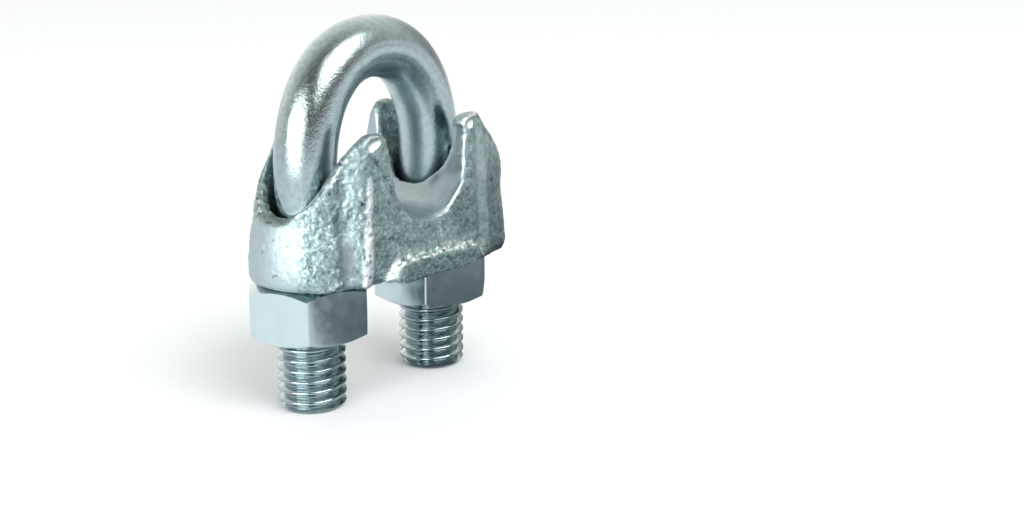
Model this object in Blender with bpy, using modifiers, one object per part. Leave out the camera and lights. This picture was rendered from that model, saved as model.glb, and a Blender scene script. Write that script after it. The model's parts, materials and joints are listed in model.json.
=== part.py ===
"""Wire rope clip, nominal size 11, for 10 to 11 mm rope (metres, +Z up).

Four pieces: a U-bolt with two M8 legs, a cast saddle that slides on the legs,
and two hexagon nuts on the legs' threads.  The origin is on the plane of the
leg ends, under the middle of the whole clip's bounding box.  X runs from leg
to leg, and the rope lies along Y between the saddle and the crown of the
U-bolt.  The loose saddle and its lip stand off the legs' middle, so the legs
are a little to one side of the origin.
"""
import math

import bmesh
import bpy
from mathutils import Matrix, Vector

# ---------------------------------------------------------------- dimensions
LEG_PITCH = 0.020          # between the axes of the two legs
CLIP_HEIGHT = 0.044        # leg ends to the top of the crown
ROD_RADIUS = 0.00355       # plain shank, the blank of a rolled M8 thread
CROWN_RISE = 0.0138        # height of the bend, on the rod's centre line
CROWN_POWER = 2.2          # 2 is a half ellipse, more is squarer

THREAD_PITCH = 0.00125     # M8 coarse, right-handed
THREAD_MAJOR = 0.00395     # radius at the crests
THREAD_MINOR = 0.00325     # radius at the roots
CREST_FLAT = 0.00020
ROOT_FLAT = 0.00024
THREAD_LENGTH = 0.0224     # from the leg end to the plain shank
THREAD_STEPS = 20          # segments to a turn
END_RADIUS = 0.0033        # chamfered leg end
END_CHAMFER = 0.00065

NUT_FLATS = 0.013          # across flats
NUT_HEIGHT = 0.0065
NUT_FACE_RADIUS = 0.00615  # bearing circle left by the 30 degree chamfer
NUT_MOUTH = 0.0043         # countersink radius
THREAD_RADIAL_GAP = 0.00015
THREAD_FLANK_GAP = 0.00006   # added to the groove's width
SEAT_GAP = 0.0003          # nut top face to saddle underside
NUT_TURN_LEFT = math.radians(45.5)     # direction of one of the nut's corners
NUT_TURN_RIGHT = math.radians(38.9)

SADDLE_BASE = 0.0156       # height of the underside over the leg ends
SADDLE_TOP = 0.0325        # horn tips
SADDLE_SHIFT_X = 0.00080   # the loose saddle sits off centre on the legs
SADDLE_SHIFT_Y = -0.00075
BOSS_RADIUS = 0.0080       # round ends about the legs, 36 mm overall
WELL_RADIUS = 0.00532      # leg holes, wide enough for the saddle to float
WELL_RADIUS_TOP = 0.0054
ROPE_RADIUS = 0.0055       # half of an 11 mm rope
SEAT_FLOOR = 0.0217        # lowest line of the rope seat
VALLEY_FLOOR = 0.0238      # lowest line of the notch over each leg
LIP_DROP = 0.0004
LIP_HEIGHT = 0.0027
LIP_DEPTH = 0.0014

LEFT = -LEG_PITCH / 2       # leg axes, from the middle of the U-bolt
RIGHT = LEG_PITCH / 2
# the U-bolt's middle stands here, so that the whole clip is centred on X and Y
MIDDLE_X = -SADDLE_SHIFT_X
MIDDLE_Y = -SADDLE_SHIFT_Y + LIP_DEPTH / 2

# ------------------------------------------------------------------- helpers


def clear_scene():
    for obj in list(bpy.data.objects):
        bpy.data.objects.remove(obj, do_unlink=True)


def new_collection(name):
    coll = bpy.data.collections.new(name)
    bpy.context.scene.collection.children.link(coll)
    return coll


def material(name, colour, roughness, metallic):
    mat = bpy.data.materials.new(name)
    mat.use_nodes = True
    shader = mat.node_tree.nodes["Principled BSDF"]
    shader.inputs["Base Color"].default_value = (*colour, 1.0)
    shader.inputs["Roughness"].default_value = roughness
    shader.inputs["Metallic"].default_value = metallic
    mat.diffuse_color = (*colour, 1.0)
    mat.roughness = roughness
    mat.metallic = metallic
    return mat


def add_object(name, mesh, coll, location=(0.0, 0.0, 0.0)):
    obj = bpy.data.objects.new(name, mesh)
    obj.location = location
    coll.objects.link(obj)
    return obj


def as_cutter(obj):
    obj.hide_render = True
    obj.display_type = "WIRE"
    return obj


def boolean(obj, cutter, operation):
    mod = obj.modifiers.new(operation.lower() + " " + cutter.name, "BOOLEAN")
    mod.operation = operation
    mod.solver = "EXACT"
    mod.object = cutter
    return mod


def frozen_mesh(obj, name):
    """The object's mesh with its modifiers applied, in its own axes."""
    graph = bpy.context.evaluated_depsgraph_get()
    graph.update()
    return bpy.data.meshes.new_from_object(obj.evaluated_get(graph), depsgraph=graph)


def tidy_mesh(mesh, distance):
    bm = bmesh.new()
    bm.from_mesh(mesh)
    bmesh.ops.remove_doubles(bm, verts=bm.verts, dist=distance)
    bmesh.ops.recalc_face_normals(bm, faces=bm.faces)
    bm.to_mesh(mesh)
    bm.free()


def smooth(obj, degrees):
    mesh = obj.data
    mesh.shade_smooth()
    mesh.set_sharp_from_angle(angle=math.radians(degrees))


# ----------------------------------------------------- turned shapes, threads


def screwed_profile(name, points, coll, steps, rise=0.0):
    """Turn a profile of (radius, height) about Z, climbing by rise a turn.

    The points run from the top to the bottom, down the outer side."""
    mesh = bpy.data.meshes.new(name)
    edges = [(i, i + 1) for i in range(len(points) - 1)]
    mesh.from_pydata([(r, 0.0, z) for r, z in points], edges, [])
    obj = add_object(name, mesh, coll)
    mod = obj.modifiers.new("turn", "SCREW")
    mod.axis = "Z"
    mod.angle = 2.0 * math.pi
    mod.screw_offset = rise
    mod.steps = steps
    mod.render_steps = steps
    mod.use_merge_vertices = True
    mod.merge_threshold = 0.00001
    return obj


def turned(name, points, coll, steps):
    obj = screwed_profile(name, points, coll, steps)
    solid = frozen_mesh(obj, name)
    bpy.data.objects.remove(obj, do_unlink=True)
    tidy_mesh(solid, 0.000005)
    return add_object(name, solid, coll)


def thread_profile(low, high, minor, major, crest, root):
    """Zigzag from high to low between two multiples of the pitch."""
    flank = (THREAD_PITCH - crest - root) / 2
    points = []
    count = round((high - low) / THREAD_PITCH)
    for k in range(count):
        top = high - k * THREAD_PITCH
        points.append((minor, top))
        points.append((minor, top - root))
        points.append((major, top - root - flank))
        points.append((major, top - root - flank - crest))
    points.append((minor, low))
    return points


def thread_solid(name, low, high, minor, major, crest, root, phase, coll):
    """Closed right-handed thread; its ends step by one pitch."""
    zigzag = thread_profile(low, high, minor, major, crest, root)
    points = [(0.0, high)] + zigzag + [(0.0, low)]
    points = [(r, z + phase) for r, z in points]
    obj = screwed_profile(name, points, coll, THREAD_STEPS, THREAD_PITCH)
    solid = frozen_mesh(obj, name)
    bpy.data.objects.remove(obj, do_unlink=True)
    bm = bmesh.new()
    bm.from_mesh(solid)
    bmesh.ops.remove_doubles(bm, verts=bm.verts, dist=0.00001)
    rim = [e for e in bm.edges if e.is_boundary]
    bmesh.ops.holes_fill(bm, edges=rim, sides=0)
    bmesh.ops.recalc_face_normals(bm, faces=bm.faces)
    bm.to_mesh(solid)
    bm.free()
    return add_object(name, solid, coll)


# ---------------------------------------------------------------- the U-bolt


def rod_centre_line():
    """The unthreaded rod, from inside one thread over the crown to the other."""
    radius = LEG_PITCH / 2
    spring = CLIP_HEIGHT - ROD_RADIUS - CROWN_RISE
    start = THREAD_LENGTH - 0.0009
    points = [(-radius, 0.0, start)]
    steps = 30
    for i in range(steps + 1):
        a = math.pi * (1.0 - i / steps)
        c = math.cos(a)
        s = math.sin(a)
        x = radius * math.copysign(abs(c) ** (2.0 / CROWN_POWER), c)
        z = spring + CROWN_RISE * abs(s) ** (2.0 / CROWN_POWER)
        points.append((x, 0.0, z))
    points.append((radius, 0.0, start))
    return points


def rod_object(coll):
    curve = bpy.data.curves.new("rod", "CURVE")
    curve.dimensions = "3D"
    curve.bevel_depth = ROD_RADIUS
    curve.bevel_resolution = 10
    curve.use_fill_caps = True
    spline = curve.splines.new("POLY")
    points = rod_centre_line()
    spline.points.add(len(points) - 1)
    for spot, co in zip(spline.points, points):
        spot.co = (*co, 1.0)
        spot.tilt = math.radians(4.0)
    source = add_object("rod curve", curve, coll)
    mesh = frozen_mesh(source, "rod")
    tidy_mesh(mesh, 0.000005)
    rod = add_object("rod", mesh, coll)
    rod.matrix_world = source.matrix_world
    bpy.data.objects.remove(source, do_unlink=True)
    return rod


def leg_blank(name, coll):
    """Outer form of a threaded leg: chamfered end, faded thread run-out."""
    run_out = 0.0006
    points = [
        (0.0, THREAD_LENGTH),
        (THREAD_MINOR + 0.0001, THREAD_LENGTH),
        (THREAD_MAJOR + 0.0001, THREAD_LENGTH - run_out),
        (THREAD_MAJOR + 0.0001, END_CHAMFER),
        (END_RADIUS, 0.0),
        (0.0, 0.0),
    ]
    return turned(name, points, coll, 40)


def threaded_leg(name, x, coll, cutters):
    low = -4 * THREAD_PITCH
    high = 22 * THREAD_PITCH
    thread = thread_solid(name, low, high, THREAD_MINOR, THREAD_MAJOR,
                          CREST_FLAT, ROOT_FLAT, 0.0, coll)
    blank = as_cutter(leg_blank(name + " blank", cutters))
    boolean(thread, blank, "INTERSECT")
    mesh = frozen_mesh(thread, name)
    tidy_mesh(mesh, 0.000002)
    bpy.data.objects.remove(thread, do_unlink=True)
    leg = add_object(name, mesh, cutters, (x, 0.0, 0.0))
    return as_cutter(leg)


def build_u_bolt(coll, cutters, finish):
    bolt = rod_object(coll)
    bolt.name = "u_bolt"
    for name, x in (("left thread", LEFT), ("right thread", RIGHT)):
        boolean(bolt, threaded_leg(name, x, coll, cutters), "UNION")
    bolt.data.materials.append(finish)
    smooth(bolt, 35)
    return bolt


# ------------------------------------------------------------------ the nuts


def tap_solid(name, coll):
    """The nut's threaded hole as a solid, in step with the legs' thread."""
    low = 3 * THREAD_PITCH
    high = 15 * THREAD_PITCH
    crest = CREST_FLAT + THREAD_FLANK_GAP
    root = ROOT_FLAT - THREAD_FLANK_GAP
    # the narrower root starts lower, so both flanks open by the same amount
    phase = -THREAD_FLANK_GAP / 2
    return thread_solid(name, low, high, THREAD_MINOR + THREAD_RADIAL_GAP,
                        THREAD_MAJOR + THREAD_RADIAL_GAP, crest, root,
                        phase, coll)


def build_nut(name, x, turn, coll, cutters, finish):
    top = SADDLE_BASE - SEAT_GAP
    bottom = top - NUT_HEIGHT
    corner = NUT_FLATS / math.sqrt(3.0)
    mesh = bpy.data.meshes.new(name)
    bm = bmesh.new()
    bmesh.ops.create_cone(bm, cap_ends=True, segments=6, radius1=corner,
                          radius2=corner, depth=NUT_HEIGHT)
    # the hexagon starts with a corner on +Y, 30 degrees from one near +X
    spin = Matrix.Rotation(turn - math.radians(30.0), 4, "Z")
    lift = Matrix.Translation((0.0, 0.0, (top + bottom) / 2))
    bmesh.ops.transform(bm, matrix=lift @ spin, verts=bm.verts)
    bm.to_mesh(mesh)
    bm.free()
    nut = add_object(name, mesh, coll, (x, 0.0, 0.0))

    drop = (corner - NUT_FACE_RADIUS) * math.tan(math.radians(30.0))
    envelope = turned(name + " chamfer", [
        (0.0, top),
        (NUT_FACE_RADIUS, top),
        (corner + 0.0002, top - drop - 0.0002 * math.tan(math.radians(30.0))),
        (corner + 0.0002, bottom + drop + 0.0002 * math.tan(math.radians(30.0))),
        (NUT_FACE_RADIUS, bottom),
        (0.0, bottom),
    ], cutters, 48)
    envelope.location = (x, 0.0, 0.0)
    boolean(nut, as_cutter(envelope), "INTERSECT")

    tap = tap_solid(name + " tap", cutters)
    tap.location = (x, 0.0, 0.0)
    boolean(nut, as_cutter(tap), "DIFFERENCE")

    flare = 0.0012
    narrow = NUT_MOUTH - flare
    for tag, face, way in (("upper", top, 1.0), ("lower", bottom, -1.0)):
        wide = (NUT_MOUTH + 0.0004, face + way * 0.0004)
        tight = (narrow, face - way * flare)
        if way > 0:
            points = [(0.0, wide[1]), wide, tight, (0.0, tight[1])]
        else:
            points = [(0.0, tight[1]), tight, wide, (0.0, wide[1])]
        mouth = turned(name + " " + tag + " mouth", points, cutters, 40)
        mouth.location = (x, 0.0, 0.0)
        mouth.rotation_euler.z = math.radians(3.7)
        boolean(nut, as_cutter(mouth), "DIFFERENCE")
    nut.data.materials.append(finish)
    return nut


# ---------------------------------------------------------------- the saddle


def blend(stations, z):
    """Linear interpolation of (height, value) stations."""
    for (z0, v0), (z1, v1) in zip(stations, stations[1:]):
        if z <= z1:
            return v0 + (v1 - v0) * (z - z0) / (z1 - z0)
    return stations[-1][1]


BASE = SADDLE_BASE
TOP = SADDLE_TOP
# casting draft: the block is widest a little over the underside
BOSS_STATIONS = [(BASE, 1.0), (BASE + 0.002, 1.0), (0.0210, 0.955),
                 (0.0245, 0.910), (0.0270, 0.860), (0.0300, 0.800), (TOP, 0.735)]
CORNER_FAR = [(BASE, 0.0102), (0.024, 0.0101), (0.028, 0.0098),
              (0.0305, 0.0093), (TOP, 0.0086)]
CORNER_NEAR = [(BASE, 0.0093), (0.024, 0.0090), (0.028, 0.0087),
               (0.0305, 0.0083), (TOP, 0.0077)]
FACE_STATIONS = [(BASE, 0.0083), (0.020, 0.0083), (0.028, 0.0080), (TOP, 0.0076)]


def boss_to_corner(radius, corner_x, corner_y):
    """Plan outline of one quarter: round boss, shallow flute, corner ridge."""
    centre = LEG_PITCH / 2
    sweep = math.radians(64.0)
    points = []
    steps = 8
    for i in range(steps + 1):
        a = sweep * i / steps
        points.append(Vector((centre + radius * math.cos(a), radius * math.sin(a))))
    start = points[-1]
    end = Vector((corner_x, corner_y))
    middle = (start + end) / 2
    outward = Vector((middle.x - centre, middle.y)).normalized()
    control = middle - outward * (radius * 0.055)
    for i in range(1, 4):
        t = i / 4
        p = start * (1 - t) ** 2 + control * 2 * t * (1 - t) + end * t ** 2
        points.append(p)
    points.append(end)
    return points


def saddle_outline(z, inset):
    """Plan outline at height z, anticlockwise; half-turn symmetric."""
    radius = BOSS_RADIUS * blend(BOSS_STATIONS, z) - inset
    face = blend(FACE_STATIONS, z) - inset
    far = blend(CORNER_FAR, z)
    near = blend(CORNER_NEAR, z)
    upper = boss_to_corner(radius, far, face)
    lower = boss_to_corner(radius, near, face)
    right = [Vector((p.x, -p.y)) for p in reversed(lower)] + upper[1:]
    left = [Vector((-p.x, -p.y)) for p in right]
    return right + left


def saddle_block(name, coll):
    heights = [(BASE, 0.0005), (BASE + 0.0004, 0.0001), (BASE + 0.001, 0.0)]
    heights += [(z, 0.0) for z in (0.0176, 0.021, 0.0245, 0.028, 0.0305)]
    heights += [(TOP - 0.0003, 0.0), (TOP, 0.0003)]
    bm = bmesh.new()
    rings = []
    for z, inset in heights:
        outline = saddle_outline(z, inset)
        rings.append([bm.verts.new((p.x, p.y, z)) for p in outline])
    for low, high in zip(rings, rings[1:]):
        count = len(low)
        for i in range(count):
            j = (i + 1) % count
            bm.faces.new((low[i], low[j], high[j], high[i]))
    bm.faces.new(list(reversed(rings[0])))
    bm.faces.new(rings[-1])
    bmesh.ops.recalc_face_normals(bm, faces=bm.faces)
    mesh = bpy.data.meshes.new(name)
    bm.to_mesh(mesh)
    bm.free()
    return add_object(name, mesh, coll)


def extruded(name, outline, half_length, along, coll):
    """A closed outline (side, height) drawn out both ways along X or Y."""
    bm = bmesh.new()
    if along == "Y":
        spots = [(s, -half_length, z) for s, z in outline]
        way = Vector((0.0, 2 * half_length, 0.0))
    else:
        spots = [(-half_length, s, z) for s, z in outline]
        way = Vector((2 * half_length, 0.0, 0.0))
    verts = [bm.verts.new(p) for p in spots]
    face = bm.faces.new(verts)
    grown = bmesh.ops.extrude_face_region(bm, geom=[face])
    moved = [v for v in grown["geom"] if isinstance(v, bmesh.types.BMVert)]
    bmesh.ops.translate(bm, verts=moved, vec=way)
    bmesh.ops.recalc_face_normals(bm, faces=bm.faces)
    mesh = bpy.data.meshes.new(name)
    bm.to_mesh(mesh)
    bm.free()
    return as_cutter(add_object(name, mesh, coll))


def rope_channel(coll):
    """Half-round groove for the rope along Y, its sides flaring to the horns."""
    radius = ROPE_RADIUS
    centre = SEAT_FLOOR + radius
    points = []
    steps = 20
    for i in range(steps + 1):
        a = math.pi * i / steps
        points.append((-radius * math.cos(a), centre - radius * math.sin(a)))
    flare = [(0.00575, 0.0288), (0.0060, 0.0304), (0.0063, 0.0316),
             (0.0069, 0.0323), (0.0075, TOP + 0.0004), (0.0078, TOP + 0.002)]
    points += flare
    points += [(-x, z) for x, z in reversed(flare)]
    return extruded("rope channel", points, 0.014, "Y", coll)


def leg_valley(coll):
    """The notch seen from each end, between two horns."""
    half = [(0.0010, VALLEY_FLOOR), (0.0023, VALLEY_FLOOR + 0.0003),
            (0.0035, 0.0250), (0.0045, 0.0261), (0.0052, 0.0273),
            (0.0057, 0.0288), (0.0060, 0.0305), (0.0063, TOP + 0.0003),
            (0.0066, TOP + 0.002)]
    outline = [(-y, z) for y, z in reversed(half)] + half
    level = 0.0120
    reach = 0.0220
    fall = 0.0016
    bm = bmesh.new()
    face = bm.faces.new([bm.verts.new((-reach, y, z - fall)) for y, z in outline])
    for run, climb in ((reach - level, fall), (2 * level, 0.0), (reach - level, -fall)):
        grown = bmesh.ops.extrude_face_region(bm, geom=[face])
        moved = [v for v in grown["geom"] if isinstance(v, bmesh.types.BMVert)]
        bmesh.ops.translate(bm, verts=moved, vec=(run, 0.0, climb))
        if face.is_valid and face.verts[0].co.x > -reach + 0.0001:
            bmesh.ops.delete(bm, geom=[face], context="FACES_ONLY")
        face = [f for f in grown["geom"] if isinstance(f, bmesh.types.BMFace)][0]
    bmesh.ops.recalc_face_normals(bm, faces=bm.faces)
    mesh = bpy.data.meshes.new("leg valley")
    bm.to_mesh(mesh)
    bm.free()
    return as_cutter(add_object("leg valley", mesh, coll))


def shoulder(name, side, coll):
    """Trims the top of one end so that the horns slope down and outward."""
    outline = [(0.0087, TOP + 0.0001), (0.0111, 0.0300), (0.0137, 0.0270),
               (0.0153, 0.0250), (0.0200, 0.0234), (0.0200, TOP + 0.002),
               (0.0087, TOP + 0.002)]
    if side < 0:
        outline = [(-x, z) for x, z in reversed(outline)]
    return extruded(name, outline, 0.014, "Y", coll)


def leg_well(name, x, coll):
    low = BASE - 0.002
    high = TOP + 0.002
    mesh = bpy.data.meshes.new(name)
    bm = bmesh.new()
    bmesh.ops.create_cone(bm, cap_ends=True, segments=40, radius1=WELL_RADIUS,
                          radius2=WELL_RADIUS_TOP, depth=high - low)
    bm.to_mesh(mesh)
    bm.free()
    return as_cutter(add_object(name, mesh, coll, (x, 0.0, (low + high) / 2)))


def front_lip(coll):
    """Ground stub of the casting gate, low on the -Y face."""
    back = -0.0074
    front = -(FACE_STATIONS[0][1] + LIP_DEPTH)
    low = BASE - LIP_DROP
    high = low + LIP_HEIGHT
    outline = [(-0.0080, low), (0.0080, low), (0.0060, high), (-0.0060, high)]
    bm = bmesh.new()
    face = bm.faces.new([bm.verts.new((x, front, z)) for x, z in outline])
    grown = bmesh.ops.extrude_face_region(bm, geom=[face])
    moved = [v for v in grown["geom"] if isinstance(v, bmesh.types.BMVert)]
    bmesh.ops.translate(bm, verts=moved, vec=(0.0, back - front, 0.0))
    # the underside of the lip climbs toward the block, clear of the nuts
    for v in moved:
        if v.co.z < BASE:
            v.co.z += LIP_DROP + 0.0007
    # both ends lean in by the same slope
    for v in bm.verts:
        half = 0.0080 - 0.0020 * (v.co.z - low) / LIP_HEIGHT
        v.co.x = math.copysign(half, v.co.x)
    bmesh.ops.recalc_face_normals(bm, faces=bm.faces)
    mesh = bpy.data.meshes.new("front lip")
    bm.to_mesh(mesh)
    bm.free()
    return as_cutter(add_object("front lip", mesh, coll))


def build_saddle(coll, cutters, finish):
    saddle = saddle_block("saddle", coll)
    tools = [(front_lip(cutters), "UNION"),
             (rope_channel(cutters), "DIFFERENCE"),
             (leg_valley(cutters), "DIFFERENCE"),
             (shoulder("left shoulder", -1, cutters), "DIFFERENCE"),
             (shoulder("right shoulder", 1, cutters), "DIFFERENCE"),
             (leg_well("left well", LEFT, cutters), "DIFFERENCE"),
             (leg_well("right well", RIGHT, cutters), "DIFFERENCE")]
    shift = Vector((SADDLE_SHIFT_X, SADDLE_SHIFT_Y, 0.0))
    saddle.location = shift
    for tool, operation in tools:
        tool.location = tool.location + shift
        boolean(saddle, tool, operation)
    saddle.data.materials.append(finish)
    return saddle


# ------------------------------------------------------------------ assembly

clear_scene()
clip = new_collection("wire_rope_clip")
tools = new_collection("wire_rope_clip cutters")

bright_zinc = material("bright zinc rod", (0.62, 0.66, 0.69), 0.22, 1.0)
cast_zinc = material("zinc on malleable iron", (0.50, 0.55, 0.56), 0.45, 1.0)
nut_zinc = material("bright zinc nut", (0.66, 0.70, 0.72), 0.28, 1.0)

u_bolt = build_u_bolt(clip, tools, bright_zinc)
saddle = build_saddle(clip, tools, cast_zinc)
nut_left = build_nut("nut_left", LEFT, NUT_TURN_LEFT, clip, tools, nut_zinc)
nut_right = build_nut("nut_right", RIGHT, NUT_TURN_RIGHT, clip, tools, nut_zinc)

# everything above stands about the U-bolt's middle
for piece in list(clip.objects) + list(tools.objects):
    piece.location += Vector((MIDDLE_X, MIDDLE_Y, 0.0))
bpy.context.view_layer.update()
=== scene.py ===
"""Wire rope clip: the surfaces that show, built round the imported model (metres, +Z up).

The U-bolt, the cast saddle and the two nuts each replace their CAD node and
ride on the same body.  Places come from the frame: the leg axes from the nuts'
joints, and heights from the CAD nodes' boxes.
"""
import json
import math

import bmesh
import bpy
import numpy as np
from mathutils import Matrix, Quaternion, Vector, noise


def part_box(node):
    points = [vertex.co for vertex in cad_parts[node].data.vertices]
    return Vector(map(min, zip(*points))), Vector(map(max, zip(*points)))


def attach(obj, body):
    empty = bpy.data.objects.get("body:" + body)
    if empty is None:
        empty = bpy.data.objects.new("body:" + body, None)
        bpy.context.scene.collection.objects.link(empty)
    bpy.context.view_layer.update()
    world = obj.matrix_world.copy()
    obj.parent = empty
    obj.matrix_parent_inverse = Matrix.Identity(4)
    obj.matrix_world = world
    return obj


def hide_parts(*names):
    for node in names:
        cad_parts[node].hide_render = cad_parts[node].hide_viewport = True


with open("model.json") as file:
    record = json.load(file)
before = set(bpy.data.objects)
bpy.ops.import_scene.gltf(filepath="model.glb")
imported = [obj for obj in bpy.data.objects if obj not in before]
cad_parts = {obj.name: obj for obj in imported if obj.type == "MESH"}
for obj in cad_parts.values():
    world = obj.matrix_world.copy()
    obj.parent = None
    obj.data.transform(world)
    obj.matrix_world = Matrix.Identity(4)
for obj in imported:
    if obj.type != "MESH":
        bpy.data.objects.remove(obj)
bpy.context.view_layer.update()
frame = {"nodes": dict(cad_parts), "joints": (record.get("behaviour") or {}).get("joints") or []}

MM = 0.001

# ------------------------------------------------------------ driving sizes
JOINTS = {joint["name"]: joint for joint in frame["joints"]}
LEFT_AXIS = Vector(JOINTS["nut_left_turn"]["pos_m"])
RIGHT_AXIS = Vector(JOINTS["nut_right_turn"]["pos_m"])
LEG_Y = LEFT_AXIS.y
MIDDLE_X = (LEFT_AXIS.x + RIGHT_AXIS.x) / 2
HALF_PITCH = (RIGHT_AXIS.x - LEFT_AXIS.x) / 2
CROWN_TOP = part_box("u_bolt")[1].z
SADDLE_LOW, SADDLE_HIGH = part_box("saddle")
NUT_LOW, NUT_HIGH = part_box("nut_left")

ROD_RADIUS = 3.55 * MM
CROWN_RISE = 13.8 * MM
CROWN_POWER = 2.2
ROD_SIDES = 72
BEND_START = CROWN_TOP - ROD_RADIUS - CROWN_RISE

THREAD_PITCH = 1.25 * MM
THREAD_MAJOR = 3.95 * MM
THREAD_MINOR = 3.27 * MM
THREAD_LENGTH = 22.4 * MM
THREAD_STEPS = 96
LEG_THREAD_START = -0.12 * MM
NUT_THREAD_START = -0.145 * MM
NUT_THREAD_GAP = 0.12 * MM
END_RADIUS = 3.3 * MM
END_CHAMFER = 0.65 * MM

NUT_FLATS = 13.0 * MM
NUT_CORNER = NUT_FLATS / math.sqrt(3.0)
NUT_FACE_RADIUS = 6.15 * MM
NUT_MOUTH = 4.3 * MM
NUT_TURNS = {"nut_left": math.radians(45.5), "nut_right": math.radians(38.9)}

SADDLE_X = (SADDLE_LOW.x + SADDLE_HIGH.x) / 2
SADDLE_Y = 0.7 * MM
SADDLE_BASE = 15.6 * MM
SADDLE_VOXEL = 0.21 * MM

CAMERA_AZIMUTH = -49.33         # degrees
CAMERA_ELEVATION = 16.05
CAMERA_DISTANCE = 192.1 * MM
CAMERA_LENS = 57.9              # mm
CAMERA_SENSOR = 36.0            # mm
AIM_HEIGHT = 22.4 * MM
AIM_RIGHT = 16.54 * MM          # the clip stands left of the picture's middle
AIM_DOWN = 6.51 * MM
CAMERA_RIGHT = Vector((math.cos(math.radians(CAMERA_AZIMUTH)),
                       math.sin(math.radians(CAMERA_AZIMUTH)), 0.0))


# ------------------------------------------------------------------ helpers


def direction(azimuth, elevation):
    """Unit vector from the clip: azimuth turned right from the camera's side."""
    a = math.radians(CAMERA_AZIMUTH) + math.radians(azimuth)
    e = math.radians(elevation)
    return Vector((math.sin(a) * math.cos(e), -math.cos(a) * math.cos(e), math.sin(e)))


def add_object(name, data):
    obj = bpy.data.objects.new(name, data)
    bpy.context.scene.collection.objects.link(obj)
    return obj


def mesh_from(name, bm):
    mesh = bpy.data.meshes.new(name)
    bm.to_mesh(mesh)
    bm.free()
    return mesh


def evaluated_mesh(obj):
    graph = bpy.context.evaluated_depsgraph_get()
    graph.update()
    return bpy.data.meshes.new_from_object(obj.evaluated_get(graph), depsgraph=graph)


def apply_modifiers(obj):
    mesh = evaluated_mesh(obj)
    obj.modifiers.clear()
    obj.data = mesh


def combine(obj, tool, operation):
    """Exact Boolean, applied; the tool is used up."""
    mod = obj.modifiers.new("cut", "BOOLEAN")
    mod.operation = operation
    mod.solver = "EXACT"
    mod.object = tool
    apply_modifiers(obj)
    bpy.data.objects.remove(tool, do_unlink=True)


def tidy(obj, distance):
    bm = bmesh.new()
    bm.from_mesh(obj.data)
    bmesh.ops.remove_doubles(bm, verts=bm.verts, dist=distance)
    bmesh.ops.recalc_face_normals(bm, faces=bm.faces)
    bm.to_mesh(obj.data)
    bm.free()


def smooth(obj, degrees):
    obj.data.shade_smooth()
    obj.data.set_sharp_from_angle(angle=math.radians(degrees))


def smoothstep(value, low, high):
    t = np.clip((value - low) / (high - low), 0.0, 1.0)
    return t * t * (3.0 - 2.0 * t)


def vertex_array(mesh):
    spots = np.empty(len(mesh.vertices) * 3, np.float32)
    mesh.vertices.foreach_get("co", spots)
    return spots.reshape(-1, 3).astype(float)


def set_vertices(mesh, spots):
    mesh.vertices.foreach_set("co", spots.astype(np.float32).ravel())
    mesh.update()


def normal_array(mesh):
    spots = np.empty(len(mesh.vertices) * 3, np.float32)
    mesh.vertex_normals.foreach_get("vector", spots)
    return spots.reshape(-1, 3).astype(float)


def noise_field(spots, scale, seed, octaves=3):
    """Fractal noise in about -1 to 1, its largest lumps about scale across."""
    offset = Vector((seed * 3.7, seed * 1.3, seed * 5.1))
    return np.array([noise.fractal(Vector(p) / scale + offset, 0.9, 2.1, octaves,
                                   noise_basis="PERLIN_ORIGINAL") for p in spots])


def store_value(mesh, name, values):
    layer = mesh.attributes.new(name, "FLOAT", "POINT")
    layer.data.foreach_set("value", values.astype(np.float32))


# ------------------------------------------------- turned shapes and threads


def lathe(name, points, steps, turn=0.0):
    """Solid of revolution of (radius, height) points, bottom to top."""
    bm = bmesh.new()
    rings = []
    for radius, height in points:
        if radius < 1e-7:
            rings.append([bm.verts.new((0.0, 0.0, height))])
            continue
        ring = []
        for i in range(steps):
            a = 2.0 * math.pi * i / steps + turn
            ring.append(bm.verts.new((radius * math.cos(a), radius * math.sin(a), height)))
        rings.append(ring)
    for low, high in zip(rings, rings[1:]):
        for i in range(steps):
            j = (i + 1) % steps
            corners = [low[i % len(low)], low[j % len(low)],
                       high[j % len(high)], high[i % len(high)]]
            bm.faces.new(list(dict.fromkeys(corners)))
    bmesh.ops.recalc_face_normals(bm, faces=bm.faces)
    return add_object(name, mesh_from(name, bm))


def rounded_thread(minor, major, crest, root):
    """One pitch of thread as (height share, radius), its corners eased."""
    flank = (1.0 - crest - root) / 2
    ease = 0.045
    deep = major - minor
    return [
        (0.0, minor), (root - ease, minor), (root + ease * 0.6, minor + deep * 0.10),
        (root + flank - ease * 0.6, major - deep * 0.10), (root + flank + ease, major),
        (root + flank + crest - ease, major),
        (root + flank + crest + ease * 0.6, major - deep * 0.10),
        (1.0 - ease * 0.6, minor + deep * 0.10),
    ]


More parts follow.
